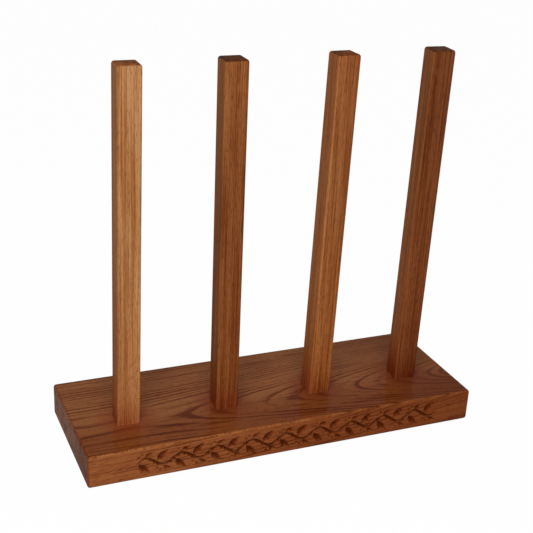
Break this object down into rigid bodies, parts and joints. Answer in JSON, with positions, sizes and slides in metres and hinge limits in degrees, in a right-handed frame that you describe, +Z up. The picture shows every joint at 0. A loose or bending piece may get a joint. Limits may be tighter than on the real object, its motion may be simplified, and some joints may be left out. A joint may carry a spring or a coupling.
{
  "type": "boot rack",
  "caption": "Free-standing oak boot rack: square posts in one line on a thick rounded plank, bolted from beneath; tall boots hang upside down on the posts.",
  "frame": {"origin": "on the floor, under the middle of the plank", "axes": "+X along the plank, +Y to the back, +Z up; the posts stand nearer the front edge, at -Y"},
  "size_m": [0.5, 0.177, 0.4705],
  "materials": {
    "oak_plank": "brown-stained oak under satin lacquer",
    "oak_post_light": "honey-brown oak under satin lacquer",
    "oak_post_mid": "mid-brown oak under satin lacquer",
    "oak_post_dark": "dark-brown oak under satin lacquer",
    "plated_steel": "bright zinc plate",
    "zinc_alloy": "cast, dull",
    "black_rubber": "matt"
  },
  "bodies": {
    "root": {"base_plank": "oak_plank", "post_1": "oak_post_light", "post_2": "oak_post_mid", "post_3": "oak_post_mid", "post_4": "oak_post_dark", "insert_nut_1": "zinc_alloy", "insert_nut_2": "zinc_alloy", "insert_nut_3": "zinc_alloy", "insert_nut_4": "zinc_alloy", "bolt_washer_1": "plated_steel", "bolt_washer_2": "plated_steel", "bolt_washer_3": "plated_steel", "bolt_washer_4": "plated_steel", "post_bolt_1": "plated_steel", "post_bolt_2": "plated_steel", "post_bolt_3": "plated_steel", "post_bolt_4": "plated_steel", "foot_pad_1": "black_rubber", "foot_pad_2": "black_rubber", "foot_pad_3": "black_rubber", "foot_pad_4": "black_rubber"}
  },
  "joints": []
}
